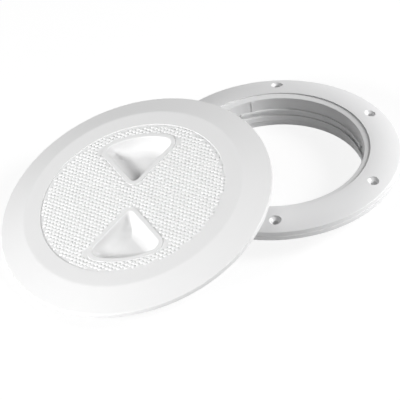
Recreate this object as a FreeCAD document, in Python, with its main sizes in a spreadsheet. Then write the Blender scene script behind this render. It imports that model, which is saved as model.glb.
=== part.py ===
import FreeCAD, Part
import math
import os
import re

import Sketcher
from FreeCAD import Placement, Rotation, Vector

# Deck inspection plate: a ring that is screwed into a round cut-out in a deck,
# and the wide lid that closes it, shown taken out and leaning on the ring.
# Lengths are in millimetres and angles in degrees. The origin is on the ring's
# axis in the plane of the deck, and the ring stands on the end of its collar.

SIZES = {
    # Ring, seen in section from the bore outwards
    "bore_radius": 65.0,
    "seat_width": 4.7,
    "seat_step": 0.7,
    "seat_drop": 1.1,
    "flange_width": 22.3,
    "ring_edge_height": 7.1,
    "ring_crown_height": 11.1,
    "edge_band_height": 3.3,
    "edge_band_proud": 0.4,
    "edge_bevel": 0.5,
    "collar_wall": 3.2,
    "collar_depth": 16.2,
    "flange_wall": 3.0,
    # Screw holes of the ring and the solid blocks round them
    "screw_count": 6,
    "screw_outset": 1.9,
    "screw_hole_diameter": 4.6,
    "screw_sink_diameter": 9.0,
    "screw_land": 0.5,
    "screw_sink_angle": 90.0,
    "first_screw_angle": 84.5,
    "screw_block_angle": 12.0,
    # Quarter turn lock inside the bore
    "lock_count": 3,
    "lock_proud": 1.5,
    "lock_depth": 0.5,
    "lock_height": 2.0,
    "lock_gap_angle": 20.0,
    "lock_heading": 57.0,
    "track_height": 3.7,
    "guard_height": 4.5,
    "guard_slope": 1.5,
    "stop_width": 2.4,
    "stop_proud": 0.6,
    "stop_inset_angle": 6.0,
    "join_overlap": 1.0,
    # Lid, in section from the middle outwards, the rim's top corner at level 0
    "lid_overhang": 10.0,
    "rim_height": 3.6,
    "rim_wall": 3.0,
    "rim_bevel": 0.6,
    "bevel_width": 19.8,
    "bevel_rise": 6.8,
    "lid_wall": 3.0,
    "flat_width": 12.7,
    "grip_depth": 0.4,
    "skirt_clearance": 0.8,
    "skirt_wall": 3.0,
    "skirt_depth": 15.7,
    # Lugs of the lid
    "lug_clearance": 0.6,
    "lug_angle": 16.0,
    "lug_height": 2.6,
    "lug_lift": 1.2,
    "lug_slope": 0.6,
    "lug_heading": 30.0,
    # Finger recesses of the lid and the cups under them
    "recess_depth": 10.5,
    "recess_inset": 2.4,
    "recess_tip": 14.8,
    "recess_tip_round": 3.5,
    "recess_half_angle": 36.5,
    "recess_corner_round": 6.0,
    "recess_lip": 0.6,
    "floor_tip_round": 4.5,
    "floor_corner_round": 5.0,
    "floor_bevel": 2.0,
    "recess_border": 3.6,
    "cup_wall": 2.3,
    "cup_clearance": 0.4,
    # Ribs under the lid
    "lid_rib_heading": 24.0,
    "lid_rib_start": 13.0,
    "lid_rib_thickness": 2.0,
    "lid_rib_height": 5.0,
    # Seal
    "seal_width": 5.8,
    "seal_height": 4.0,
    "seal_clearance": 0.05,
    # How the lid leans on the ring
    "lid_reach": 26.6,
    "lid_bearing": 206.0,
    "lean_heading": 211.3,
    "lid_turn": -9.9,
    "lean_gap": 0.15,
}

DERIVED = {
    "seat_radius": "bore_radius + seat_width",
    "ring_radius": "seat_radius + flange_width",
    "collar_radius": "bore_radius + collar_wall",
    "lock_radius": "bore_radius - lock_proud",
    "screw_circle_radius": "(collar_radius + ring_radius) / 2 + screw_outset",
    # The flange falls outwards in three slopes that follow one arc, level at the
    # seat, and the screw heads lie in the middle slope
    "dome_radius": "((flange_width - edge_bevel)^2 + (ring_crown_height - ring_edge_height)^2)"
                   " / (2 * (ring_crown_height - ring_edge_height))",
    "inner_break": "screw_circle_radius - screw_sink_diameter / 2 - screw_land",
    "outer_break": "screw_circle_radius + screw_sink_diameter / 2 + screw_land",
    "inner_level": "ring_crown_height - dome_radius"
                   " + sqrt(dome_radius^2 - (inner_break - seat_radius)^2)",
    "outer_level": "ring_crown_height - dome_radius"
                   " + sqrt(dome_radius^2 - (outer_break - seat_radius)^2)",
    "screw_top": "(inner_level + outer_level) / 2",
    "screw_sink_depth": "(screw_sink_diameter - screw_hole_diameter) / 2 / tan(screw_sink_angle / 2)",
    "screw_step": "360 / screw_count",
    "core_angle": "screw_step - screw_block_angle",
    "seat_top": "ring_crown_height - seat_step",
    "seat_low": "ring_crown_height - seat_step - seat_drop",
    "guard_top": "0 - lock_depth - lock_height - track_height",
    "lock_span": "360 / lock_count - lock_gap_angle",
    "lid_radius": "ring_radius + lid_overhang",
    "bevel_radius": "lid_radius - bevel_width",
    "grip_radius": "bevel_radius - flat_width",
    "skirt_radius": "lock_radius - skirt_clearance",
    "lug_radius": "bore_radius - lug_clearance",
    "recess_arc_radius": "skirt_radius - skirt_wall - cup_wall - cup_clearance",
    "lid_under": "bevel_rise - lid_wall",
    "bevel_wall": "lid_wall * sqrt((lid_radius - bevel_radius)^2 + bevel_rise^2)"
                  " / (lid_radius - bevel_radius)",
    "bevel_slope": "bevel_rise / (lid_radius - bevel_radius)",
    "recess_low": "bevel_rise - recess_depth",
    "cup_low": "bevel_rise - recess_depth - cup_wall",
    "floor_tip": "recess_tip + recess_tip_round - floor_tip_round"
                 " + (recess_inset + floor_tip_round - recess_tip_round) / sin(recess_half_angle)",
    "floor_arc_radius": "recess_arc_radius - recess_inset",
}

# Corners of the flange's top in section, from the seat to the edge
FLANGE = [
    ("seat_radius", "ring_crown_height"),
    ("inner_break", "inner_level"),
    ("outer_break", "outer_level"),
    ("ring_radius - edge_bevel", "ring_edge_height"),
    ("ring_radius", "ring_edge_height - edge_bevel"),
]

doc = FreeCAD.newDocument("deck_inspection_plate")
sheet = doc.addObject("Spreadsheet::Sheet", "Sizes")


def in_sheet(expression):
    """Writes each size named in an expression as a reference to its cell."""
    return re.sub(r"[a-z]+(?:_[a-z]+)+", lambda word: "Sizes." + word.group(0), expression)


def fill_sheet():
    """Puts the driving dimensions and the sizes worked out from them in the sheet."""
    row = 0
    for name, number in SIZES.items():
        row += 1
        sheet.set("A%d" % row, name)
        sheet.set("B%d" % row, str(number))
        sheet.setAlias("B%d" % row, name)
    doc.recompute()
    for name, expression in DERIVED.items():
        row += 1
        sheet.set("A%d" % row, name)
        sheet.set("B%d" % row, "=" + expression)
        sheet.setAlias("B%d" % row, name)
        doc.recompute()


def size(expression):
    """Gives the number that an expression of the sheet's sizes has now."""
    return float(sheet.evalExpression(in_sheet(expression)))


fill_sheet()


# Helpers for bodies, sketches and features

def new_body(label):
    """Makes an empty body with its label."""
    body = doc.addObject("PartDesign::Body", label)
    body.Label = label
    return body


def origin_part(body, role):
    """Finds a plane or an axis of a body's own origin."""
    return [part for part in body.Origin.OriginFeatures if part.Role == role][0]


def new_sketch(body, name, plane, level=None, swing=None, reach=None):
    """Puts a sketch on an origin plane: raised, swung round the axis or moved outwards."""
    sketch = body.newObject("Sketcher::SketchObject", name)
    sketch.AttachmentSupport = (origin_part(body, plane), [""])
    sketch.MapMode = "FlatFace"
    if level:
        sketch.setExpression("AttachmentOffset.Base.z", in_sheet(level))
    if reach:
        sketch.setExpression("AttachmentOffset.Base.x", in_sheet(reach))
    if swing:
        sketch.AttachmentOffset = Placement(Vector(), Rotation(Vector(0, 1, 0), size(swing)))
        sketch.setExpression("AttachmentOffset.Rotation.Angle", in_sheet(swing))
    return sketch


def bind(sketch, kind, elements, expression):
    """Adds a constraint whose value follows the sheet."""
    number = size(expression)
    if kind == "Angle":
        number = math.radians(number)
    index = sketch.addConstraint(Sketcher.Constraint(kind, *elements, number))
    sketch.renameConstraint(index, "size_%d" % index)
    sketch.setExpression("Constraints.size_%d" % index, in_sheet(expression))


def pin_point(sketch, edge, end, across, up):
    """Holds a point of a sketch at a place given by two expressions."""
    if across == "0":
        sketch.addConstraint(Sketcher.Constraint("PointOnObject", edge, end, -2))
    else:
        bind(sketch, "DistanceX", (-1, 1, edge, end), across)
    if up == "0":
        sketch.addConstraint(Sketcher.Constraint("PointOnObject", edge, end, -1))
    else:
        bind(sketch, "DistanceY", (-1, 1, edge, end), up)


def section(sketch, corners):
    """Draws a closed outline with straight edges through corners."""
    points = [Vector(size(across), size(up), 0) for across, up in corners]
    count = len(points)
    for number, start in enumerate(points):
        sketch.addGeometry(Part.LineSegment(start, points[(number + 1) % count]), False)
    for number in range(count):
        sketch.addConstraint(Sketcher.Constraint("Coincident", number, 2, (number + 1) % count, 1))
    for number, (across, up) in enumerate(corners):
        pin_point(sketch, number, 1, across, up)


def rounded_triangle(sketch, tip, tip_round, corner_round, arc_radius):
    """Draws a finger recess outline: a rounded tip towards the axis, two straight
    sides and an outer arc about the axis, joined by rounded corners."""
    half = math.radians(size("recess_half_angle"))
    small, corner, wide = size(tip_round), size(corner_round), size(arc_radius)
    across = Vector(math.cos(half), -math.sin(half), 0)
    along = Vector(math.sin(half), math.cos(half), 0)
    tip_centre = Vector(0, size(tip) + small, 0)
    start = tip_centre + across * (small - corner)
    step = -start.dot(along) + math.sqrt(start.dot(along) ** 2 - start.dot(start) + (wide - corner) ** 2)
    right = start + along * step
    left = Vector(-right.x, right.y, 0)
    turn = math.atan2(right.y, right.x)

    def arc(centre, radius, first, last):
        circle = Part.Circle(centre, Vector(0, 0, 1), radius)
        sketch.addGeometry(Part.ArcOfCircle(circle, first, last), False)

    def mirrored(point):
        return Vector(-point.x, point.y, 0)

    side_low = tip_centre + across * small
    side_high = right + across * corner
    arc(tip_centre, small, math.pi + half, 2 * math.pi - half)
    sketch.addGeometry(Part.LineSegment(side_low, side_high), False)
    arc(right, corner, -half, turn)
    arc(Vector(), wide, turn, math.pi - turn)
    arc(left, corner, math.pi - turn, math.pi + half)
    sketch.addGeometry(Part.LineSegment(mirrored(side_high), mirrored(side_low)), False)
    for number in range(6):
        after = (number + 1) % 6
        sketch.addConstraint(Sketcher.Constraint("Tangent", number, 2, after, 1))
    sketch.addConstraint(Sketcher.Constraint("Coincident", 3, 3, -1, 1))
    sketch.addConstraint(Sketcher.Constraint("PointOnObject", 0, 3, -2))
    sketch.addConstraint(Sketcher.Constraint("Equal", 2, 4))
    sketch.addConstraint(Sketcher.Constraint("Equal", 1, 5))
    bind(sketch, "DistanceY", (-1, 1, 0, 3), tip + " + " + tip_round)
    bind(sketch, "Radius", (0,), tip_round)
    bind(sketch, "Radius", (2,), corner_round)
    bind(sketch, "Radius", (3,), arc_radius)
    bind(sketch, "Angle", (1,), "90 - recess_half_angle")


def revolve(body, name, sketch, angle=None, cut=False):
    """Turns a section round the body's axis, all the way or over a centred angle."""
    feature = body.newObject("PartDesign::Groove" if cut else "PartDesign::Revolution", name)
    feature.Profile = sketch
    feature.ReferenceAxis = (sketch, ["V_Axis"])
    if angle:
        feature.Midplane = True
        feature.setExpression("Angle", in_sheet(angle))
    else:
        feature.Angle = 360
    return feature


def loft(body, name, outlines, cut=False):
    """Joins outlines, from the highest down, by straight walls."""
    kind = "PartDesign::SubtractiveLoft" if cut else "PartDesign::AdditiveLoft"
    feature = body.newObject(kind, name)
    feature.Profile = outlines[0]
    feature.Sections = [(outline, [""]) for outline in outlines[1:]]
    feature.Ruled = True
    return feature


def pad(body, name, sketch, length, downwards=False):
    """Gives a sketch a height."""
    feature = body.newObject("PartDesign::Pad", name)
    feature.Profile = sketch
    feature.Reversed = downwards
    feature.setExpression("Length", in_sheet(length))
    return feature


def polar(body, name, originals, count):
    """Repeats features evenly round the body's axis."""
    pattern = body.newObject("PartDesign::PolarPattern", name)
    pattern.Originals = originals
    pattern.Axis = (origin_part(body, "Z_Axis"), [""])
    pattern.Angle = 360
    pattern.setExpression("Occurrences", in_sheet(count))
    body.Tip = pattern
    return pattern


# Ring

def ring_section(body):
    """The ring's turned form: collar, seal seat, falling flange and stepped edge."""
    sketch = new_sketch(body, "RingSection", "XZ_Plane")
    section(sketch, FLANGE + [
        ("ring_radius", "edge_band_height"),
        ("ring_radius + edge_band_proud", "edge_band_height"),
        ("ring_radius + edge_band_proud", "0"),
        ("collar_radius", "0"),
        ("collar_radius", "0 - collar_depth"),
        ("bore_radius", "0 - collar_depth"),
        ("bore_radius", "seat_low"),
        ("seat_radius", "seat_top"),
    ])
    return revolve(body, "RingTurned", sketch)


def ring_core(body):
    """A hollow under the flange between two screw blocks."""
    sketch = new_sketch(body, "CoreSection", "XZ_Plane", swing="screw_step / 2")
    section(sketch, [
        ("collar_radius + flange_wall", "0"),
        ("collar_radius + flange_wall", "seat_top - flange_wall"),
        ("ring_radius - flange_wall", "ring_edge_height - 0.7 * flange_wall"),
        ("ring_radius - flange_wall", "0"),
    ])
    return revolve(body, "Core", sketch, angle="core_angle", cut=True)


def screw_hole(body):
    """A countersunk screw hole through the flange."""
    sketch = new_sketch(body, "ScrewSection", "XZ_Plane", reach="screw_circle_radius")
    section(sketch, [
        ("0", "0"),
        ("screw_hole_diameter / 2", "0"),
        ("screw_hole_diameter / 2", "screw_top - screw_sink_depth"),
        ("screw_sink_diameter / 2 + (ring_crown_height - screw_top) * tan(screw_sink_angle / 2)",
         "ring_crown_height"),
        ("0", "ring_crown_height"),
    ])
    return revolve(body, "ScrewHole", sketch, cut=True)


def lock_ridges(body):
    """Ridges in the bore that the lid's lugs turn under, each with an end stop."""
    swing = "lock_heading - first_screw_angle"
    sketch = new_sketch(body, "LockSection", "XZ_Plane", swing=swing)
    section(sketch, [
        ("bore_radius + join_overlap", "0 - lock_depth"),
        ("bore_radius + join_overlap", "0 - lock_depth - lock_height"),
        ("lock_radius", "0 - lock_depth - lock_height"),
        ("lock_radius", "0 - lock_depth"),
    ])
    ridge = revolve(body, "LockRidge", sketch, angle="lock_span")
    stop_swing = swing + " + lock_span / 2 - stop_inset_angle"
    stop = new_sketch(body, "StopSection", "XZ_Plane", swing=stop_swing)
    section(stop, [
        ("bore_radius + join_overlap", "seat_low - join_overlap"),
        ("bore_radius + join_overlap", "0 - lock_depth - join_overlap"),
        ("bore_radius - stop_proud", "0 - lock_depth - join_overlap"),
        ("bore_radius - stop_proud", "seat_low - join_overlap"),
    ])
    rib = revolve(body, "StopRib", stop, angle="stop_width / bore_radius * 180 / pi")
    return polar(body, "LockRidges", [ridge, rib], "lock_count")


def guard_band(body):
    """The band under the track of the lock, sloping back to the bore below."""
    sketch = new_sketch(body, "GuardSection", "XZ_Plane")
    section(sketch, [
        ("bore_radius + join_overlap", "guard_top"),
        ("bore_radius + join_overlap", "guard_top - guard_height - guard_slope"),
        ("bore_radius", "guard_top - guard_height - guard_slope"),
        ("lock_radius", "guard_top - guard_height"),
        ("lock_radius", "guard_top"),
    ])
    return revolve(body, "GuardBand", sketch)


def make_ring():
    """The ring, moulded in one piece."""
    body = new_body("mounting_ring")
    ring_section(body)
    polar(body, "Cores", [ring_core(body)], "screw_count")
    polar(body, "ScrewHoles", [screw_hole(body)], "screw_count")
    lock_ridges(body)
    guard_band(body)
    body.Placement = Placement(Vector(), Rotation(Vector(0, 0, 1), size("first_screw_angle")))
    return body


# Lid

def lid_section(body):
    """The lid's turned form: sunk middle, flat, bevel, rim and skirt."""
    sketch = new_sketch(body, "LidSection", "XZ_Plane")
    section(sketch, [
        ("0", "bevel_rise - grip_depth"),
        ("grip_radius", "bevel_rise - grip_depth"),
        ("grip_radius", "bevel_rise"),
        ("bevel_radius", "bevel_rise"),
        ("lid_radius - rim_bevel", "rim_bevel * bevel_slope"),
        ("lid_radius", "0 - rim_bevel"),
        ("lid_radius", "0 - rim_height"),
        ("lid_radius - rim_wall", "0 - rim_height"),
        ("lid_radius - rim_wall", "rim_wall * bevel_slope - bevel_wall"),
        ("lid_radius - (lid_under + bevel_wall) / bevel_slope", "lid_under"),
        ("skirt_radius", "lid_under"),
        ("skirt_radius", "0 - skirt_depth"),
        ("skirt_radius - skirt_wall", "0 - skirt_depth"),
        ("skirt_radius - skirt_wall", "lid_under"),
        ("0", "lid_under"),
    ])
    return revolve(body, "LidTurned", sketch)


def recess_outline(body, name, level, grow):
    """The outline of a recess at the lid's top, grown by some width."""
    sketch = new_sketch(body, name, "XY_Plane", level=level)
    rounded_triangle(sketch, "recess_tip - " + grow, "recess_tip_round + " + grow,
                     "recess_corner_round + " + grow, "recess_arc_radius + " + grow)
    return sketch


def floor_outline(body, name, level, grow):
    """The outline of a recess at its floor, grown by some width."""
    sketch = new_sketch(body, name, "XY_Plane", level=level)
    rounded_triangle(sketch, "floor_tip - " + grow, "floor_tip_round + " + grow,
                     "floor_corner_round + " + grow, "floor_arc_radius + " + grow)
    return sketch


def finger_recesses(body):
    """The plain borders, the cups under the lid and the recesses sunk in them."""
    border = recess_outline(body, "BorderOutline", "bevel_rise - grip_depth", "recess_border")
    island = pad(body, "Border", border, "grip_depth")
    cup = loft(body, "Cup", [
        recess_outline(body, "CupTop", "bevel_rise - grip_depth", "cup_wall"),
        floor_outline(body, "CupBottom", "cup_low", "cup_wall"),
    ])
    polar(body, "Cups", [island, cup], "2")
    recess = loft(body, "Recess", [
        recess_outline(body, "RecessLip", "bevel_rise", "recess_lip"),
        recess_outline(body, "RecessTop", "bevel_rise - recess_lip", "0"),
        floor_outline(body, "RecessFoot", "recess_low + floor_bevel", "0"),
        floor_outline(body, "RecessFloor", "recess_low", "(0 - floor_bevel)"),
    ], cut=True)
    polar(body, "Recesses", [recess], "2")


def lid_lugs(body):
    """Lugs at the end of the skirt that turn under the ring's ridges."""
    sketch = new_sketch(body, "LugSection", "XZ_Plane", swing="lug_heading")
    low = "lug_lift - skirt_depth"
    section(sketch, [
        ("skirt_radius - join_overlap", low),
        ("skirt_radius", low),
        ("lug_radius", low + " + lug_slope"),
        ("lug_radius", low + " + lug_height"),
        ("skirt_radius - join_overlap", low + " + lug_height"),
    ])
    lug = revolve(body, "Lug", sketch, angle="lug_angle")
    polar(body, "Lugs", [lug], "lock_count")


def lid_ribs(body):
    """Low ribs under the lid on both sides of the cups."""
    ribs = []
    for name, swing in (("LeftRib", "lid_rib_heading"), ("RightRib", "0 - lid_rib_heading")):
        sketch = new_sketch(body, name + "Section", "XZ_Plane", swing=swing)
        section(sketch, [
            ("lid_rib_start", "lid_under - lid_rib_height"),
            ("skirt_radius - join_overlap", "lid_under - lid_rib_height"),
            ("skirt_radius - join_overlap", "lid_under + join_overlap"),
            ("lid_rib_start", "lid_under + join_overlap"),
        ])
        rib = pad(body, name, sketch, "lid_rib_thickness")
        rib.Midplane = True
        ribs.append(rib)
    polar(body, "LidRibs", ribs, "2")


def make_lid():
    """The lid, moulded in one piece."""
    body = new_body("lid")
    lid_section(body)
    lid_ribs(body)
    finger_recesses(body)
    lid_lugs(body)
    return body


# Where the lid lies: its skirt stands on the floor and leans on the ring's flange

flange_points = [(size(across), size(up)) for across, up in FLANGE]
far_down = -10 * size("collar_depth")


def flange_level(radius):
    """The level of the ring's flange at a radius, far down beside it."""
    for (inner, high), (outer, low) in zip(flange_points, flange_points[1:]):
        if inner <= radius <= outer:
            return high + (low - high) * (radius - inner) / (outer - inner)
    return far_down


def lid_place(tilt):
    """The lid's place when it leans by a tilt and its lowest edge is on the floor."""
    lean = math.radians(tilt)
    away = size("ring_radius + lid_reach")
    bearing = math.radians(size("lid_bearing"))
    rim = size("lid_radius") * math.sin(lean) + size("rim_height") * math.cos(lean)
    skirt = size("skirt_radius") * math.sin(lean) + size("skirt_depth") * math.cos(lean)
    level = max(rim, skirt) - size("collar_depth")
    heading = size("lean_heading")
    turned = Rotation(Vector(0, 0, 1), size("lid_turn") - heading)
    leant = Rotation(Vector(0, 1, 0), tilt)
    rotation = Rotation(Vector(0, 0, 1), heading) * leant * turned
    return Placement(Vector(away * math.cos(bearing), away * math.sin(bearing), level), rotation)


def skirt_gap(tilt):
    """The least height of the skirt's lower end above the flange at a tilt."""
    spot = lid_place(tilt)
    low = -size("skirt_depth")
    gaps = []
    for part_way in range(5):
        wide = size("skirt_radius") - size("skirt_wall") * part_way / 4
        for step in range(360):
            angle = math.radians(step)
            point = spot.multVec(Vector(wide * math.cos(angle), wide * math.sin(angle), low))
            gaps.append(point.z - flange_level(math.hypot(point.x, point.y)))
    return min(gaps)


def leaning_place():
    """The place at which the skirt is only just clear of the flange."""
    flat, steep = 5.0, 35.0
    for _ in range(16):
        middle = (flat + steep) / 2
        if skirt_gap(middle) < size("lean_gap"):
            flat = middle
        else:
            steep = middle
    return lid_place(steep)


def make_seal():
    """The flat rubber seal round the head of the lid's skirt."""
    body = new_body("lid_seal")
    inner, top = "skirt_radius + seal_clearance", "lid_under - seal_clearance"
    sketch = new_sketch(body, "SealSection", "XZ_Plane")
    section(sketch, [
        (inner, top),
        (inner + " + seal_width", top),
        (inner + " + seal_width", top + " - seal_height"),
        (inner, top + " - seal_height"),
    ])
    revolve(body, "SealTurned", sketch)
    return body


ring = make_ring()
lid = make_lid()
seal = make_seal()
lid.Placement = leaning_place()
seal.Placement = lid.Placement
doc.recompute()

for item in doc.Objects:
    if "Invalid" in item.State or "Error" in item.State:
        raise ValueError(item.Name + " is not in order")

os.makedirs("parts", exist_ok=True)
for item in (ring, lid, seal):
    if item.Shape.isNull() or not item.Shape.isValid() or len(item.Shape.Solids) != 1:
        raise ValueError(item.Label + " is not one sound solid")
    item.Shape.exportStep("parts/" + item.Label + ".step")
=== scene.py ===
"""Deck inspection plate: the looks of its ring, its lid and its seal.

Lengths in the classes are millimetres in the part's own frame, and each mesh is
scaled to metres once it is whole.
"""
import logging
import math
from dataclasses import dataclass, field
from enum import Enum

import bmesh
import bpy
from mathutils import Matrix, Vector


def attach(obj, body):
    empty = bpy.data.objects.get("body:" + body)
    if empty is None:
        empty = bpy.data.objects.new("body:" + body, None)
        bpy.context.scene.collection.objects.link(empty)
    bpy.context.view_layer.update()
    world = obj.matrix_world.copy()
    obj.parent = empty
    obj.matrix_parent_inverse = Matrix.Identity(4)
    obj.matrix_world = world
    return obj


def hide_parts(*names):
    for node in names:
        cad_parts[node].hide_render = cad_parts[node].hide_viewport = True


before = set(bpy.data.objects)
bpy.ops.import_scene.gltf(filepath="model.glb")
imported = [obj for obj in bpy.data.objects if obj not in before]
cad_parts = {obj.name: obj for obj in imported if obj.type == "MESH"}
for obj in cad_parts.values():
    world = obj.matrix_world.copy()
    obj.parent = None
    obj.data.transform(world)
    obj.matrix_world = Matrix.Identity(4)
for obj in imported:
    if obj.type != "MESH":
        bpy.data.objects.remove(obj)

logging.basicConfig(level=logging.INFO, format="%(message)s")
log = logging.getLogger("deck_inspection_plate")

MM = 0.001
FLOOR_MM = -16.2
MERGE_MM = 0.002
SLIVER_MM = 0.001


def linear(code: str) -> tuple[float, float, float, float]:
    """Turn an sRGB hex colour into the linear colour that a shader takes.

    Args:
        code: six hex digits, with or without a leading hash.

    Returns:
        The linear red, green and blue, and an alpha of 1.
    """
    digits = code.lstrip("#")
    shares = [int(digits[place:place + 2], 16) / 255 for place in (0, 2, 4)]
    parts = [c / 12.92 if c <= 0.04045 else ((c + 0.055) / 1.055) ** 2.4 for c in shares]
    return (parts[0], parts[1], parts[2], 1.0)


def add_node(tree: bpy.types.NodeTree, kind: str, settings: dict | None = None,
             values: dict | None = None, links: dict | None = None) -> bpy.types.Node:
    """Add a node to a tree with its settings, socket values and incoming links.

    Args:
        tree: the node tree.
        kind: the node's type name.
        settings: properties of the node.
        values: constants of input sockets, by name or place.
        links: output sockets that feed input sockets, by name or place.

    Returns:
        The new node.
    """
    node = tree.nodes.new(kind)
    for name, value in (settings or {}).items():
        setattr(node, name, value)
    for name, value in (values or {}).items():
        node.inputs[name].default_value = value
    for name, socket in (links or {}).items():
        tree.links.new(socket, node.inputs[name])
    return node


class Gloss(Enum):
    """How a moulded surface leaves its mould, as the shader's roughness."""

    SATIN = 0.36
    MATT = 0.62


class Joining(Enum):
    """How a solid joins a piece, as the Boolean modifier's operation."""

    ADD = "UNION"
    TAKE = "DIFFERENCE"


@dataclass(frozen=True)
class MouldedPlastic:
    """Weatherproof white ASA plastic, injection moulded.

    Such plastic has an IOR of about 1.5. The mould's fine spark-eroded face gives a
    soft sheen with a slight unevenness, and the flow of the melt a faint change of
    tone over a few centimetres. The real grain of about 0.05 mm is too fine to show,
    so it is drawn at 0.45 mm.
    """

    name: str
    tone: str
    shade_tone: str
    gloss: Gloss = Gloss.SATIN
    ior: float = 1.5
    grain_mm: float = 0.45
    flow_mm: float = 55.0
    grain_depth_mm: float = 0.008
    grain_strength: float = 0.35
    gloss_spread: float = 0.03

    def build(self) -> bpy.types.Material:
        """Make the material.

        Returns:
            The material.
        """
        material = bpy.data.materials.new(self.name)
        material.use_nodes = True
        tree = material.node_tree
        tree.nodes.clear()
        place = add_node(tree, "ShaderNodeTexCoord")
        flow = add_node(tree, "ShaderNodeTexNoise", {"noise_dimensions": "3D"},
                        {"Scale": 1000 / self.flow_mm, "Detail": 2.0, "Roughness": 0.5},
                        {"Vector": place.outputs["Object"]})
        tone = add_node(tree, "ShaderNodeMix", {"data_type": "RGBA"},
                        {6: linear(self.shade_tone), 7: linear(self.tone)},
                        {0: flow.outputs["Fac"]})
        grain = add_node(tree, "ShaderNodeTexNoise", {"noise_dimensions": "3D"},
                         {"Scale": 1000 / self.grain_mm, "Detail": 3.0, "Roughness": 0.6},
                         {"Vector": place.outputs["Object"]})
        sheen = add_node(tree, "ShaderNodeMapRange", None,
                         {"From Min": 0.3, "From Max": 0.7,
                          "To Min": self.gloss.value - self.gloss_spread,
                          "To Max": self.gloss.value + self.gloss_spread},
                         {"Value": grain.outputs["Fac"]})
        bump = add_node(tree, "ShaderNodeBump", None,
                        {"Strength": self.grain_strength,
                         "Distance": self.grain_depth_mm * MM},
                        {"Height": grain.outputs["Fac"]})
        shader = add_node(tree, "ShaderNodeBsdfPrincipled", None, {"IOR": self.ior},
                          {"Base Color": tone.outputs[2], "Roughness": sheen.outputs[0],
                           "Normal": bump.outputs["Normal"]})
        add_node(tree, "ShaderNodeOutputMaterial", None, None, {"Surface": shader.outputs["BSDF"]})
        return material


@dataclass(frozen=True)
class SealRubber:
    """Black EPDM rubber, moulded as a flat ring.

    It is matt, with a faint bloom that lifts the black in patches of a few
    millimetres.
    """

    name: str = "epdm_rubber_moulded"
    black: str = "17181A"
    bloom: str = "2A2B2E"
    gloss: Gloss = Gloss.MATT
    ior: float = 1.52
    bloom_mm: float = 6.0
    bloom_depth_mm: float = 0.02
    bloom_strength: float = 0.3

    def build(self) -> bpy.types.Material:
        """Make the material.

        Returns:
            The material.
        """
        material = bpy.data.materials.new(self.name)
        material.use_nodes = True
        tree = material.node_tree
        tree.nodes.clear()
        place = add_node(tree, "ShaderNodeTexCoord")
        cloud = add_node(tree, "ShaderNodeTexNoise", {"noise_dimensions": "3D"},
                         {"Scale": 1000 / self.bloom_mm, "Detail": 4.0},
                         {"Vector": place.outputs["Object"]})
        tone = add_node(tree, "ShaderNodeMix", {"data_type": "RGBA"},
                        {6: linear(self.black), 7: linear(self.bloom)},
                        {0: cloud.outputs["Fac"]})
        bump = add_node(tree, "ShaderNodeBump", None,
                        {"Strength": self.bloom_strength,
                         "Distance": self.bloom_depth_mm * MM},
                        {"Height": cloud.outputs["Fac"]})
        shader = add_node(tree, "ShaderNodeBsdfPrincipled", None,
                          {"IOR": self.ior, "Roughness": self.gloss.value},
                          {"Base Color": tone.outputs[2], "Normal": bump.outputs["Normal"]})
        add_node(tree, "ShaderNodeOutputMaterial", None, None, {"Surface": shader.outputs["BSDF"]})
        return material


@dataclass
class Corner:
    """A corner of a turned section: its radius, its level and how it is rounded."""

    out: float
    up: float
    round: float = 0.0
    steps: int = 5


def turned(corners: list[Corner], steps: int, angle: float = 360.0,
           start: float = 0.0) -> bmesh.types.BMesh:
    """Turn a section round the Z axis into a closed solid.

    Args:
        corners: the section's corners in order; an edge on the axis is left open.
        steps: the number of steps of the whole turn.
        angle: how far to turn, in degrees.
        start: the heading of the section's plane, in degrees.

    Returns:
        The solid as a bmesh.
    """
    bm = bmesh.new()
    verts = [bm.verts.new((corner.out, 0.0, corner.up)) for corner in corners]
    bm.faces.new(verts)
    for number, (corner, vert) in enumerate(zip(corners, verts)):
        if corner.round <= 0:
            continue
        before = Vector((corners[number - 1].out, corners[number - 1].up))
        after_corner = corners[(number + 1) % len(corners)]
        after = Vector((after_corner.out, after_corner.up))
        here = Vector((corner.out, corner.up))
        bend = (before - here).angle(after - here)
        bmesh.ops.bevel(bm, geom=[vert], offset=corner.round / math.tan(bend / 2),
                        offset_type="OFFSET", segments=corner.steps, profile=0.5,
                        affect="VERTICES", material=-1)
    if start:
        bmesh.ops.rotate(bm, cent=(0, 0, 0), verts=bm.verts[:],
                         matrix=Matrix.Rotation(math.radians(start), 3, "Z"))
    whole = angle >= 360
    if whole:
        bmesh.ops.delete(bm, geom=bm.faces[:], context="FACES_ONLY")
        on_axis = [edge for edge in bm.edges
                   if all(math.hypot(v.co.x, v.co.y) < 1e-6 for v in edge.verts)]
        bmesh.ops.delete(bm, geom=on_axis, context="EDGES")
        parts = bm.verts[:] + bm.edges[:]
    else:
        parts = bm.verts[:] + bm.edges[:] + bm.faces[:]
    bmesh.ops.spin(bm, geom=parts, cent=(0, 0, 0), axis=(0, 0, 1), dvec=(0, 0, 0),
                   angle=math.radians(angle), steps=steps, use_merge=whole,
                   use_normal_flip=False, use_duplicate=False)
    bmesh.ops.remove_doubles(bm, verts=bm.verts[:], dist=1e-4)
    bmesh.ops.recalc_face_normals(bm, faces=bm.faces[:])
    return bm


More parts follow.
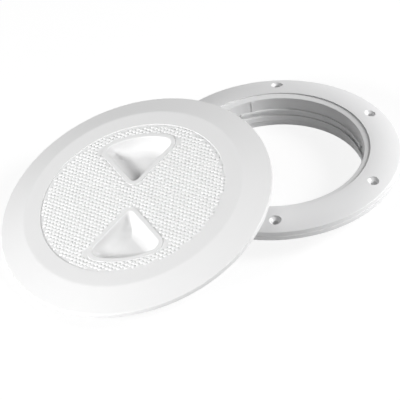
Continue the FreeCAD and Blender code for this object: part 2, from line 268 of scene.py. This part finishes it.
@dataclass
class TriangleOutline:
    """A rounded triangle that points at the lid's axis, closed by an arc about it."""

    tip: float
    tip_round: float
    corner_round: float
    arc_radius: float
    half_angle: float = 36.5
    least_round: float = 0.5
    side_steps: int = 12
    corner_steps: int = 14
    arc_steps: int = 28

    def grown(self, width: float) -> "TriangleOutline":
        """Give the same outline grown outwards, or inwards by a negative width.

        Args:
            width: how far every side moves outwards.

        Returns:
            The grown outline.
        """
        spread = 1 / math.sin(math.radians(self.half_angle))
        apex = self.tip + self.tip_round * (1 - spread) - width * spread
        tip_round = max(self.tip_round + width, self.least_round)
        return TriangleOutline(apex - tip_round * (1 - spread), tip_round,
                               max(self.corner_round + width, self.least_round),
                               self.arc_radius + width, self.half_angle)

    def towards(self, other: "TriangleOutline", share: float) -> "TriangleOutline":
        """Give the outline part of the way to another one.

        Args:
            other: the outline at a share of 1.
            share: how far to go.

        Returns:
            The outline between the two.
        """
        def between(one: float, two: float) -> float:
            """Give the value between two at the share."""
            return one + (two - one) * share
        return TriangleOutline(between(self.tip, other.tip),
                               between(self.tip_round, other.tip_round),
                               between(self.corner_round, other.corner_round),
                               between(self.arc_radius, other.arc_radius), self.half_angle)

    def points(self) -> list[Vector]:
        """Walk the outline anticlockwise, with the same number of points each time.

        Returns:
            The points in the plane, pointing along +Y.
        """
        half = math.radians(self.half_angle)
        across = Vector((math.cos(half), -math.sin(half)))
        along = Vector((math.sin(half), math.cos(half)))
        middle = Vector((0.0, self.tip + self.tip_round))
        base = middle + across * (self.tip_round - self.corner_round)
        reach = self.arc_radius - self.corner_round
        step = -base.dot(along) + math.sqrt(base.dot(along) ** 2 - base.dot(base) + reach ** 2)
        right = base + along * step
        turn = math.atan2(right.y, right.x)

        def arc(centre: Vector, radius: float, first: float, last: float,
                count: int) -> list[Vector]:
            """Give points along an arc, without its last one."""
            angles = [first + (last - first) * number / count for number in range(count)]
            return [centre + Vector((math.cos(a), math.sin(a))) * radius for a in angles]

        def run(first: Vector, last: Vector, count: int) -> list[Vector]:
            """Give points along a straight side, without its last one."""
            return [first.lerp(last, number / count) for number in range(count)]

        low, high = middle + across * self.tip_round, right + across * self.corner_round
        left = Vector((-right.x, right.y))
        left_low, left_high = Vector((-low.x, low.y)), Vector((-high.x, high.y))
        walk = arc(middle, self.tip_round, math.pi + half, 2 * math.pi - half, self.side_steps)
        walk += run(low, high, self.side_steps)
        walk += arc(right, self.corner_round, -half, turn, self.corner_steps)
        walk += arc(Vector((0.0, 0.0)), self.arc_radius, turn, math.pi - turn, self.arc_steps)
        walk += arc(left, self.corner_round, math.pi - turn, math.pi + half, self.corner_steps)
        walk += run(left_high, left_low, self.side_steps)
        return walk


def lofted(stations: list[tuple[TriangleOutline, float]]) -> bmesh.types.BMesh:
    """Join outlines at their levels into a closed solid.

    Args:
        stations: each outline with its level, from one end to the other.

    Returns:
        The solid as a bmesh.
    """
    bm = bmesh.new()
    loops = []
    for outline, level in stations:
        verts = [bm.verts.new((point.x, point.y, level)) for point in outline.points()]
        edges = [bm.edges.new((vert, verts[(place + 1) % len(verts)]))
                 for place, vert in enumerate(verts)]
        loops.append((verts, edges))
    for (_, lower), (_, upper) in zip(loops, loops[1:]):
        bmesh.ops.bridge_loops(bm, edges=lower + upper)
    bm.faces.new(loops[0][0])
    bm.faces.new(loops[-1][0])
    bmesh.ops.recalc_face_normals(bm, faces=bm.faces[:])
    return bm


def to_object(name: str, bm: bmesh.types.BMesh) -> bpy.types.Object:
    """Make a linked object of a bmesh and free the bmesh.

    Args:
        name: the name of the object and of its mesh.
        bm: the shape, freed afterwards.

    Returns:
        The new object.
    """
    mesh = bpy.data.meshes.new(name)
    bm.to_mesh(mesh)
    bm.free()
    piece = bpy.data.objects.new(name, mesh)
    bpy.context.scene.collection.objects.link(piece)
    return piece


def combine(base: bpy.types.Object, other: bmesh.types.BMesh, joining: Joining) -> None:
    """Add a solid to a piece or take it away, and keep the result as the mesh.

    Args:
        base: the piece.
        other: the solid, freed afterwards.
        joining: whether it is added or taken away.
    """
    tool = to_object("tool", other)
    modifier = base.modifiers.new("combine", "BOOLEAN")
    modifier.operation = joining.value
    modifier.solver = "MANIFOLD"
    modifier.object = tool
    graph = bpy.context.evaluated_depsgraph_get()
    merged = bpy.data.meshes.new_from_object(base.evaluated_get(graph))
    base.modifiers.clear()
    old, base.data = base.data, merged
    bpy.data.meshes.remove(old)
    tool_mesh = tool.data
    bpy.data.objects.remove(tool)
    bpy.data.meshes.remove(tool_mesh)


def turned_about(bm: bmesh.types.BMesh, degrees: float) -> bmesh.types.BMesh:
    """Turn a solid about the Z axis.

    Args:
        bm: the solid.
        degrees: how far to turn it, anticlockwise from above.

    Returns:
        The same solid.
    """
    bmesh.ops.rotate(bm, cent=(0, 0, 0), verts=bm.verts[:],
                     matrix=Matrix.Rotation(math.radians(degrees), 3, "Z"))
    return bm


def finish_shape(piece: bpy.types.Object, place: Matrix, sharp_degrees: float = 28.0) -> None:
    """Put a piece in its place in metres, smooth it and keep its edges crisp.

    The Boolean steps leave an empty material slot, which is cleared here, so that
    the material that is added next is the one that shows.

    Args:
        piece: the piece, still in millimetres in its own frame.
        place: where it goes, in millimetres.
        sharp_degrees: faces that meet at more than this keep a sharp edge.
    """
    bm = bmesh.new()
    bm.from_mesh(piece.data)
    bmesh.ops.remove_doubles(bm, verts=bm.verts[:], dist=MERGE_MM)
    bmesh.ops.dissolve_degenerate(bm, dist=SLIVER_MM, edges=bm.edges[:])
    bmesh.ops.recalc_face_normals(bm, faces=bm.faces[:])
    for face in bm.faces:
        face.smooth = True
    sharp = math.radians(sharp_degrees)
    for edge in bm.edges:
        edge.smooth = len(edge.link_faces) == 2 and edge.calc_face_angle(0.0) < sharp
    bmesh.ops.transform(bm, matrix=Matrix.Scale(MM, 4) @ place, verts=bm.verts[:])
    bm.to_mesh(piece.data)
    bm.free()
    piece.data.materials.clear()
    weigh = piece.modifiers.new("even_normals", "WEIGHTED_NORMAL")
    weigh.keep_sharp = True
    weigh.weight = 60


@dataclass
class MountingRing:
    """The ring that stays in the deck: flange, seal seat, collar, lock and screw holes."""

    bore: float = 65.0
    seat: float = 69.7
    seat_step: float = 1.0
    seat_drop: float = 0.8
    edge: float = 92.0
    edge_height: float = 6.9
    crown: float = 11.1
    band_height: float = 3.3
    band_proud: float = 0.4
    collar_wall: float = 3.2
    collar_depth: float = 16.2
    wall: float = 3.0
    screw_circle: float = 82.0
    screw_hole: float = 4.6
    screw_sink: float = 9.0
    screw_land: float = 1.2
    sink_edge: float = 0.05
    sink_flare: float = 0.12
    screw_relief: float = 7.0
    screws: int = 6
    first_screw: float = 84.5
    block_angle: float = 12.0
    core_drop: float = 0.7
    core_edge_share: float = 0.6
    locks: int = 3
    lock_root: float = 1.5
    lock_radius: float = 63.5
    lock_depth: float = 0.5
    lock_height: float = 2.0
    track: float = 3.7
    guard: float = 4.5
    guard_slope: float = 1.5
    lock_heading: float = 57.0
    lock_span: float = 100.0
    lock_run_out: float = 3.0
    stop_inset: float = 6.0
    stop_width: float = 2.4
    stop_proud: float = 0.4
    stop_drop: float = 0.6
    stop_overlap: float = 0.5
    dome_steps: int = 12
    steps: int = 288

    def dome_radius(self) -> float:
        """Give the radius of the flange's domed top."""
        out, fall = self.edge - self.seat, self.crown - self.edge_height
        return (out * out + fall * fall) / (2 * fall)

    def dome(self, radius: float) -> float:
        """Give the level of the domed top at a radius."""
        dome = self.dome_radius()
        return self.crown - dome + math.sqrt(dome * dome - (radius - self.seat) ** 2)

    def section(self) -> list[Corner]:
        """Give the turned section, from the crown outwards and back up the bore.

        Returns:
            The section's corners in order.
        """
        top = [Corner(self.seat, self.crown, 0.25, 3)]
        for number in range(1, self.dome_steps):
            radius = self.seat + (self.edge - self.seat) * number / self.dome_steps
            top.append(Corner(radius, self.dome(radius)))
        low_lock = -self.lock_depth - self.lock_height - self.track
        return top + [
            Corner(self.edge, self.edge_height, 0.6, 5),
            Corner(self.edge, self.band_height, 0.12, 2),
            Corner(self.edge + self.band_proud, self.band_height, 0.25, 4),
            Corner(self.edge + self.band_proud, 0.0, 0.3, 4),
            Corner(self.bore + self.collar_wall, 0.0, 0.3, 4),
            Corner(self.bore + self.collar_wall, -self.collar_depth, 0.5, 4),
            Corner(self.bore, -self.collar_depth, 0.5, 4),
            Corner(self.bore, low_lock - self.guard - self.guard_slope, 0.4, 3),
            Corner(self.lock_radius, low_lock - self.guard, 0.4, 3),
            Corner(self.lock_radius, low_lock, 0.3, 4),
            Corner(self.bore, low_lock, 0.2, 3),
            Corner(self.bore, self.crown - self.seat_step - self.seat_drop, 0.6, 5),
            Corner(self.seat, self.crown - self.seat_step, 0.12, 2),
        ]

    def core(self, start: float) -> bmesh.types.BMesh:
        """Give a hollow under the flange between two screw blocks.

        Args:
            start: the heading where it starts, in degrees.

        Returns:
            The solid to take away.
        """
        inner = self.bore + self.collar_wall + self.wall
        corners = [
            Corner(inner, -2.0),
            Corner(inner, self.crown - self.core_drop - self.wall, 0.8, 3),
            Corner(self.edge - self.wall,
                   self.edge_height - self.core_edge_share * self.wall, 0.8, 3),
            Corner(self.edge - self.wall, -2.0),
        ]
        sweep = 360 / self.screws - self.block_angle
        return turned(corners, steps=36, angle=sweep, start=start)

    def screw_cutter(self, heading: float) -> bmesh.types.BMesh:
        """Give a countersunk hole's shape at a heading.

        Args:
            heading: the heading of the hole, in degrees.

        Returns:
            The solid to take away.
        """
        top = self.dome(self.screw_circle)
        sink = (self.screw_sink - self.screw_hole) / 2
        land = top - sink - self.screw_land
        bm = turned([
            Corner(0.0, -1.0),
            Corner(self.screw_relief / 2, -1.0),
            Corner(self.screw_relief / 2, land),
            Corner(self.screw_hole / 2, land),
            Corner(self.screw_hole / 2, top - sink, 0.2, 3),
            Corner(self.screw_sink / 2, top - self.sink_edge, 0.25, 3),
            Corner(self.screw_sink / 2 + self.sink_flare, self.crown + 1.0),
            Corner(0.0, self.crown + 1.0),
        ], steps=48)
        bmesh.ops.translate(bm, vec=(self.screw_circle, 0, 0), verts=bm.verts[:])
        return turned_about(bm, heading)

    def lock_ridge(self, heading: float) -> bmesh.types.BMesh:
        """Give one ridge of the lock, centred on a heading.

        Args:
            heading: the heading of its middle, in degrees.

        Returns:
            The solid to add.
        """
        top = -self.lock_depth
        root = self.bore + self.lock_root
        return turned([
            Corner(root, top),
            Corner(root, top - self.lock_height),
            Corner(self.lock_radius, top - self.lock_height, 0.25, 3),
            Corner(self.lock_radius, top, 0.35, 4),
        ], steps=84, angle=self.lock_span + self.lock_run_out,
            start=heading - self.lock_span / 2)

    def stop_rib(self, heading: float) -> bmesh.types.BMesh:
        """Give the upright stop in the bore near one end of a ridge.

        Args:
            heading: the heading of its middle, in degrees.

        Returns:
            The solid to add.
        """
        sweep = math.degrees(self.stop_width / self.bore)
        top = self.crown - self.seat_step - self.seat_drop - self.stop_drop
        low = -self.lock_depth - self.stop_overlap
        root = self.bore + self.lock_root
        return turned([
            Corner(root, top),
            Corner(root, low),
            Corner(self.bore - self.stop_proud, low),
            Corner(self.bore - self.stop_proud, top, 0.3, 3),
        ], steps=4, angle=sweep, start=heading - sweep / 2)

    def build(self, plastic: bpy.types.Material) -> bpy.types.Object:
        """Make the ring, dress it and set it in place of its solid.

        Args:
            plastic: its material.

        Returns:
            The finished piece.
        """
        piece = to_object("mounting_ring_moulded", turned(self.section(), self.steps))
        for number in range(self.screws):
            heading = self.first_screw + number * 360 / self.screws
            combine(piece, self.core(heading + self.block_angle / 2), Joining.TAKE)
            combine(piece, self.screw_cutter(heading), Joining.TAKE)
        for number in range(self.locks):
            heading = self.lock_heading + number * 360 / self.locks
            combine(piece, self.lock_ridge(heading), Joining.ADD)
            stop = heading + self.lock_span / 2 - self.stop_inset
            combine(piece, self.stop_rib(stop), Joining.ADD)
        finish_shape(piece, Matrix.Identity(4))
        piece.data.materials.append(plastic)
        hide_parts("mounting_ring")
        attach(piece, "root")
        return piece


@dataclass
class LeaningLid:
    """The lid: sunk textured middle, two finger recesses, flat, bevel, rim and skirt."""

    radius: float = 102.0
    rim_height: float = 3.6
    rim_wall: float = 3.0
    bevel: float = 82.2
    rise: float = 6.8
    wall: float = 3.0
    grip: float = 69.5
    grip_depth: float = 0.7
    skirt: float = 62.7
    skirt_wall: float = 3.0
    skirt_depth: float = 15.7
    lugs: int = 3
    lug: float = 64.4
    lug_angle: float = 16.0
    lug_height: float = 2.6
    lug_lift: float = 1.2
    lug_slope: float = 0.6
    lug_root: float = 1.0
    lug_heading: float = 30.0
    recess_depth: float = 10.5
    lip_round: float = 0.9
    lip_lift: float = 0.01
    lip_steps: int = 6
    floor_round: float = 9.4
    floor_steps: int = 8
    border: float = 3.6
    border_edge: float = 0.18
    border_root: float = 1.0
    cup_wall: float = 2.3
    cup_round: float = 3.0
    cup_root: float = 0.5
    cup_steps: int = 6
    rib_heading: float = 24.0
    rib_height: float = 5.0
    rib_start: float = 13.0
    rib_thickness: float = 2.0
    rib_root: float = 1.0
    pip_pitch: float = 3.24
    pip_length: float = 3.0
    pip_width: float = 2.1
    pip_slant: float = 15.0
    pip_height: float = 1.0
    pip_edge_room: float = 0.2
    pip_border_share: float = 0.4
    steps: int = 360
    centre: tuple[float, float, float] = (-106.597, -51.991, 14.825)
    tilt: float = 14.628
    heading: float = 211.3
    spin: float = -9.9
    top_outline: TriangleOutline = field(
        default_factory=lambda: TriangleOutline(14.8, 3.5, 6.0, 57.0))
    floor_outline: TriangleOutline = field(
        default_factory=lambda: TriangleOutline(19.516, 4.5, 5.0, 54.6))

    def place(self) -> Matrix:
        """Give the lid's place on the ring and the floor.

        Returns:
            The place as a matrix, in millimetres.
        """
        turn = Matrix.Rotation(math.radians(self.heading), 4, "Z")
        lean = Matrix.Rotation(math.radians(self.tilt), 4, "Y")
        back = Matrix.Rotation(math.radians(self.spin - self.heading), 4, "Z")
        return Matrix.Translation(self.centre) @ turn @ lean @ back

    def under(self) -> float:
        """Give the level of the lid's plain underside."""
        return self.rise - self.wall

    def section(self) -> list[Corner]:
        """Give the turned section, from the middle outwards and back below.

        Returns:
            The section's corners in order.
        """
        slope = self.rise / (self.radius - self.bevel)
        thick = self.wall * math.hypot(1.0, slope)
        floor = self.rise - self.grip_depth
        return [
            Corner(0.0, floor),
            Corner(self.grip, floor, 0.12, 2),
            Corner(self.grip, self.rise, 0.22, 4),
            Corner(self.bevel, self.rise, 6.0, 6),
            Corner(self.radius, 0.0, 0.9, 7),
            Corner(self.radius, -self.rim_height, 0.5, 5),
            Corner(self.radius - self.rim_wall, -self.rim_height, 0.4, 4),
            Corner(self.radius - self.rim_wall, self.rim_wall * slope - thick, 0.6, 4),
            Corner(self.radius - (self.under() + thick) / slope, self.under(), 6.0, 4),
            Corner(self.skirt, self.under(), 0.4, 3),
            Corner(self.skirt, -self.skirt_depth, 0.15, 2),
            Corner(self.skirt - self.skirt_wall, -self.skirt_depth, 0.5, 4),
            Corner(self.skirt - self.skirt_wall, self.under(), 0.8, 4),
            Corner(0.0, self.under()),
        ]

    def border_slab(self) -> bmesh.types.BMesh:
        """Give the plain border round a recess, level with the flat.

        Returns:
            The solid to add.
        """
        edge = self.border_edge
        low = self.rise - self.grip_depth - self.border_root
        return lofted([
            (self.top_outline.grown(self.border), low),
            (self.top_outline.grown(self.border), self.rise - edge),
            (self.top_outline.grown(self.border - 0.3 * edge), self.rise - 0.3 * edge),
            (self.top_outline.grown(self.border - edge), self.rise),
        ])

    def cup(self) -> bmesh.types.BMesh:
        """Give the outside of the cup that holds a recess under the lid.

        Returns:
            The solid to add.
        """
        top = self.rise - self.grip_depth - self.cup_root
        low = self.rise - self.recess_depth - self.cup_wall
        stations = [(self.top_outline.grown(self.cup_wall), top)]
        for number in range(self.cup_steps + 1):
            turn = math.radians(90 * number / self.cup_steps)
            level = low + self.cup_round * (1 - math.sin(turn))
            share = (self.rise - level) / (self.rise - low)
            outline = self.top_outline.towards(self.floor_outline, share)
            grow = self.cup_wall - self.cup_round * (1 - math.cos(turn))
            stations.append((outline.grown(grow), level))
        return lofted(stations)

    def recess_cutter(self) -> bmesh.types.BMesh:
        """Give a finger recess: rounded lip, drafted walls and a rounded floor.

        Returns:
            The solid to take away.
        """
        floor = self.rise - self.recess_depth
        stations = [(self.top_outline.grown(self.lip_round), self.rise + 2.0)]
        for number in range(self.lip_steps + 1):
            turn = math.radians(90 * number / self.lip_steps)
            drop = self.lip_round * (1 - math.cos(turn))
            share = drop / self.recess_depth
            outline = self.top_outline.towards(self.floor_outline, share)
            grow = self.lip_round * (1 - math.sin(turn))
            stations.append((outline.grown(grow), self.rise + self.lip_lift - drop))
        for number in range(self.floor_steps + 1):
            turn = math.radians(90 * number / self.floor_steps)
            level = floor + self.floor_round * (1 - math.sin(turn))
            share = (self.rise - level) / self.recess_depth
            outline = self.top_outline.towards(self.floor_outline, share)
            stations.append((outline.grown(-self.floor_round * (1 - math.cos(turn))), level))
        return lofted(stations)

    def lug_block(self, heading: float) -> bmesh.types.BMesh:
        """Give one lug at the end of the skirt.

        Args:
            heading: the heading of its middle, in degrees.

        Returns:
            The solid to add.
        """
        low = self.lug_lift - self.skirt_depth
        return turned([
            Corner(self.skirt - self.lug_root, low),
            Corner(self.skirt, low),
            Corner(self.lug, low + self.lug_slope, 0.3, 3),
            Corner(self.lug, low + self.lug_height, 0.3, 3),
            Corner(self.skirt - self.lug_root, low + self.lug_height),
        ], steps=16, angle=self.lug_angle, start=heading - self.lug_angle / 2)

    def rib(self, heading: float) -> bmesh.types.BMesh:
        """Give one low rib under the lid.

        Args:
            heading: its heading, in degrees.

        Returns:
            The solid to add.
        """
        bm = bmesh.new()
        length = self.skirt - self.skirt_wall + self.rib_root - self.rib_start
        bmesh.ops.create_cube(bm, size=1.0)
        bmesh.ops.scale(bm, vec=(length, self.rib_thickness, self.rib_height + self.rib_root),
                        verts=bm.verts[:])
        shift = Vector((self.rib_start + length / 2, 0,
                        self.under() + (self.rib_root - self.rib_height) / 2))
        bmesh.ops.translate(bm, vec=shift, verts=bm.verts[:])
        return turned_about(bm, heading)

    def pip(self) -> bpy.types.Mesh:
        """Make one oval pip of the grip texture.

        Returns:
            Its mesh, in millimetres, standing on level 0.
        """
        # The radii are shares of a round pip 1 across, which is then stretched.
        bm = turned([
            Corner(0.0, -0.05),
            Corner(0.5, -0.05),
            Corner(0.465, self.pip_height * 0.5),
            Corner(0.3, self.pip_height * 0.9),
            Corner(0.0, self.pip_height),
        ], steps=12)
        bmesh.ops.scale(bm, vec=(self.pip_length, self.pip_width, 1.0), verts=bm.verts[:])
        turned_about(bm, self.pip_slant)
        mesh = bpy.data.meshes.new("pip")
        bm.to_mesh(mesh)
        bm.free()
        return mesh

    def clear_of_recess(self, spot: Vector, room: float) -> bool:
        """Tell whether a spot keeps some room from both recess borders.

        Args:
            spot: the spot on the lid.
            room: the least distance from a border, in millimetres.

        Returns:
            True where a pip may stand.
        """
        outline = self.top_outline.grown(self.border + room)
        half = math.radians(outline.half_angle)
        side = Vector((abs(spot.x), abs(spot.y)))
        apex = outline.tip + outline.tip_round - outline.tip_round / math.sin(half)
        in_side = (side.y - apex) * math.sin(half) - side.x * math.cos(half) > 0
        in_arc = side.length < outline.arc_radius
        past_tip = side.y > outline.tip
        return not (in_side and in_arc and past_tip)

    def add_pips(self, piece: bpy.types.Object) -> int:
        """Stand the pips of the grip texture on the lid's sunk middle.

        Args:
            piece: the lid, still in millimetres.

        Returns:
            How many pips stand on it.
        """
        bm = bmesh.new()
        bm.from_mesh(piece.data)
        shape = self.pip()
        row = self.pip_pitch * math.sin(math.radians(60))
        reach = self.grip - self.pip_length / 2 - self.pip_edge_room
        room = self.pip_width * self.pip_border_share
        level = self.rise - self.grip_depth
        span = int(self.grip / row) + 2
        count = 0
        stands = Vector((0.0, 0.0, 0.0))
        for across in range(-span, span + 1):
            for along in range(-span, span + 1):
                spot = Vector((across * row, (along + 0.5 * (across % 2)) * self.pip_pitch))
                if spot.length > reach or not self.clear_of_recess(spot, room):
                    continue
                goal = Vector((spot.x, spot.y, level))
                shape.transform(Matrix.Translation(goal - stands))
                stands = goal
                bm.from_mesh(shape)
                count += 1
        bm.to_mesh(piece.data)
        bm.free()
        bpy.data.meshes.remove(shape)
        return count

    def build(self, plastic: bpy.types.Material) -> bpy.types.Object:
        """Make the lid, dress it and set it in place of its solid.

        Args:
            plastic: its material.

        Returns:
            The finished piece.
        """
        piece = to_object("lid_moulded", turned(self.section(), self.steps))
        for side in (0, 180):
            combine(piece, turned_about(self.border_slab(), side), Joining.ADD)
            combine(piece, turned_about(self.cup(), side), Joining.ADD)
            combine(piece, turned_about(self.recess_cutter(), side), Joining.TAKE)
            for lean in (self.rib_heading, -self.rib_heading):
                combine(piece, self.rib(side + lean), Joining.ADD)
        for number in range(self.lugs):
            heading = self.lug_heading + number * 360 / self.lugs
            combine(piece, self.lug_block(heading), Joining.ADD)
        pips = self.add_pips(piece)
        log.info("grip texture: %d pips", pips)
        finish_shape(piece, self.place(), sharp_degrees=32.0)
        piece.data.materials.append(plastic)
        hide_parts("lid")
        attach(piece, "root")
        return piece


@dataclass
class LidSeal:
    """The flat rubber seal round the head of the lid's skirt."""

    inner: float = 62.75
    width: float = 5.8
    height: float = 4.0
    clearance: float = 0.05
    steps: int = 240

    def build(self, lid: LeaningLid, rubber: bpy.types.Material) -> bpy.types.Object:
        """Make the seal, dress it and set it in place of its solid.

        Args:
            lid: the lid that carries it.
            rubber: its material.

        Returns:
            The finished piece.
        """
        top = lid.under() - self.clearance
        piece = to_object("lid_seal_moulded", turned([
            Corner(self.inner, top, 0.4, 3),
            Corner(self.inner + self.width, top, 0.6, 4),
            Corner(self.inner + self.width, top - self.height, 0.9, 5),
            Corner(self.inner, top - self.height, 0.6, 4),
        ], self.steps))
        finish_shape(piece, lid.place(), sharp_degrees=50.0)
        piece.data.materials.append(rubber)
        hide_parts("lid_seal")
        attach(piece, "root")
        return piece


@dataclass
class Studio:
    """White floor and backdrop, soft lamps and the camera."""

    lens_mm: float = 176.2
    eye: tuple[float, float, float] = (-0.0597, -1.1491, 0.8986)
    right: tuple[float, float, float] = (0.99559, -0.05898, -0.07289)
    up: tuple[float, float, float] = (0.09376, 0.62628, 0.77394)
    sensor_mm: float = 36.0
    floor_reach: float = 4.0
    floor_tone: str = "E8E8E8"
    shadow_share: float = 0.16
    floor_glow: float = 0.88
    lamp_size: float = 0.6
    lamp_distance: float = 1.6
    lamp_aim: tuple[float, float, float] = (-0.04, -0.02, 0.0)

    def camera(self) -> bpy.types.Object:
        """Set the camera at the photograph's viewing angle.

        Returns:
            The camera.
        """
        lens = bpy.data.cameras.new("view")
        lens.sensor_width = self.sensor_mm
        lens.lens = self.lens_mm
        lens.clip_end = 20.0
        right, up = Vector(self.right), Vector(self.up)
        back = right.cross(up)
        turn = Matrix((right, up, back)).transposed().to_4x4()
        camera = bpy.data.objects.new("view", lens)
        camera.matrix_world = Matrix.Translation(self.eye) @ turn
        bpy.context.scene.collection.objects.link(camera)
        bpy.context.scene.camera = camera
        return camera

    def seen_as_white(self, tree: bpy.types.NodeTree) -> bpy.types.NodeSocket:
        """Tell the camera's, glossy and transmission rays from the rays that light.

        Args:
            tree: the node tree that gets the nodes.

        Returns:
            The socket that is 1 where the white background shows.
        """
        path = add_node(tree, "ShaderNodeLightPath")
        mirrored = add_node(tree, "ShaderNodeMath", {"operation": "MAXIMUM"}, None,
                            {0: path.outputs["Is Camera Ray"], 1: path.outputs["Is Glossy Ray"]})
        passed = add_node(tree, "ShaderNodeMath", {"operation": "MAXIMUM"}, None,
                          {0: mirrored.outputs[0], 1: path.outputs["Is Transmission Ray"]})
        return passed.outputs[0]

    def floor(self) -> bpy.types.Object:
        """Lay the white floor that keeps a faint shadow.

        Returns:
            The floor.
        """
        bm = bmesh.new()
        bmesh.ops.create_grid(bm, x_segments=1, y_segments=1, size=self.floor_reach)
        bmesh.ops.translate(bm, vec=(0, 0, FLOOR_MM * MM), verts=bm.verts[:])
        floor = to_object("studio_floor", bm)
        material = bpy.data.materials.new("studio_white")
        material.use_nodes = True
        tree = material.node_tree
        tree.nodes.clear()
        matt = add_node(tree, "ShaderNodeBsdfDiffuse", None, {"Color": linear(self.floor_tone)})
        faint = add_node(tree, "ShaderNodeBsdfDiffuse", None,
                         {"Color": (self.shadow_share,) * 3 + (1.0,)})
        white = add_node(tree, "ShaderNodeEmission", None,
                         {"Color": (1, 1, 1, 1), "Strength": self.floor_glow})
        shown = add_node(tree, "ShaderNodeAddShader", None, None,
                         {0: faint.outputs[0], 1: white.outputs[0]})
        mixed = add_node(tree, "ShaderNodeMixShader", None, None,
                         {0: self.seen_as_white(tree), 1: matt.outputs[0], 2: shown.outputs[0]})
        add_node(tree, "ShaderNodeOutputMaterial", None, None, {"Surface": mixed.outputs[0]})
        floor.data.materials.append(material)
        return floor

    def sky(self, strength: float) -> None:
        """Give the soft light from all round, white where the camera sees it.

        Args:
            strength: the strength of that light.
        """
        world = bpy.data.worlds.new("studio")
        bpy.context.scene.world = world
        world.use_nodes = True
        tree = world.node_tree
        tree.nodes.clear()
        soft = add_node(tree, "ShaderNodeBackground", None,
                        {"Color": (1, 1, 1, 1), "Strength": strength})
        seen = add_node(tree, "ShaderNodeBackground", None,
                        {"Color": (1, 1, 1, 1), "Strength": 1.0})
        mixed = add_node(tree, "ShaderNodeMixShader", None, None,
                         {0: self.seen_as_white(tree), 1: soft.outputs[0], 2: seen.outputs[0]})
        add_node(tree, "ShaderNodeOutputWorld", None, None, {"Surface": mixed.outputs[0]})

    def lamp(self, name: str, heading: float, height: float, power: float,
             pieces: list[bpy.types.Object]) -> bpy.types.Object:
        """Hang a soft lamp that looks at the object.

        Args:
            name: the lamp's name.
            heading: where it hangs, in degrees from +X.
            height: its elevation, in degrees.
            power: its power in watts.
            pieces: the only pieces that it lights.

        Returns:
            The lamp.
        """
        light = bpy.data.lights.new(name, "AREA")
        light.shape = "DISK"
        light.size = self.lamp_size
        light.energy = power
        lamp = bpy.data.objects.new(name, light)
        away, lift = math.radians(heading), math.radians(height)
        offset = Vector((math.cos(away) * math.cos(lift), math.sin(away) * math.cos(lift),
                         math.sin(lift)))
        spot = Vector(self.lamp_aim) + offset * self.lamp_distance
        lamp.matrix_world = (Matrix.Translation(spot)
                             @ offset.to_track_quat("Z", "Y").to_matrix().to_4x4())
        bpy.context.scene.collection.objects.link(lamp)
        group = bpy.data.collections.new(name + "_lit")
        for piece in pieces:
            group.objects.link(piece)
        lamp.light_linking.receiver_collection = group
        return lamp


def main() -> None:
    """Build the pieces and the studio, and report each one."""
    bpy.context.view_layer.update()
    lid_plastic = MouldedPlastic("asa_white_moulded", "F2F2F2", "EEEEEE").build()
    # The ring takes a darker copy of the lid's white plastic: its darker tone is painted shade,
    # standing for the dimmer light that falls on the ring.
    ring_plastic_painted_shade = MouldedPlastic("asa_white_ring_painted_shade", "E8E8E8", "E3E3E4").build()
    rubber = SealRubber().build()
    ring = MountingRing().build(ring_plastic_painted_shade)
    log.info("ring: %d faces", len(ring.data.polygons))
    lid_shape = LeaningLid()
    lid = lid_shape.build(lid_plastic)
    log.info("lid: %d faces", len(lid.data.polygons))
    seal = LidSeal().build(lid_shape, rubber)
    log.info("seal: %d faces", len(seal.data.polygons))

    studio = Studio()
    floor = studio.floor()
    studio.sky(0.03)
    # The lid and the ring were photographed in different light, so each has its lamps.
    studio.lamp("lid_left", 216.0, 25.0, 24.0, [lid, seal, floor])
    studio.lamp("lid_right", 0.0, 36.0, 14.0, [lid, seal])
    studio.lamp("lid_right_low", 0.0, 14.0, 8.0, [lid, seal])
    studio.lamp("ring_right", 355.0, 34.0, 21.5, [ring, floor])
    studio.lamp("ring_right_low", 20.0, 13.0, 5.5, [ring])
    studio.lamp("ring_high", 100.0, 62.0, 3.5, [ring])
    studio.lamp("ring_near", 300.0, 45.0, 2.0, [ring])
    studio.camera()
    bpy.context.scene.view_settings.view_transform = "Standard"
    log.info("sizes noted")


if __name__ == "__main__":
    main()
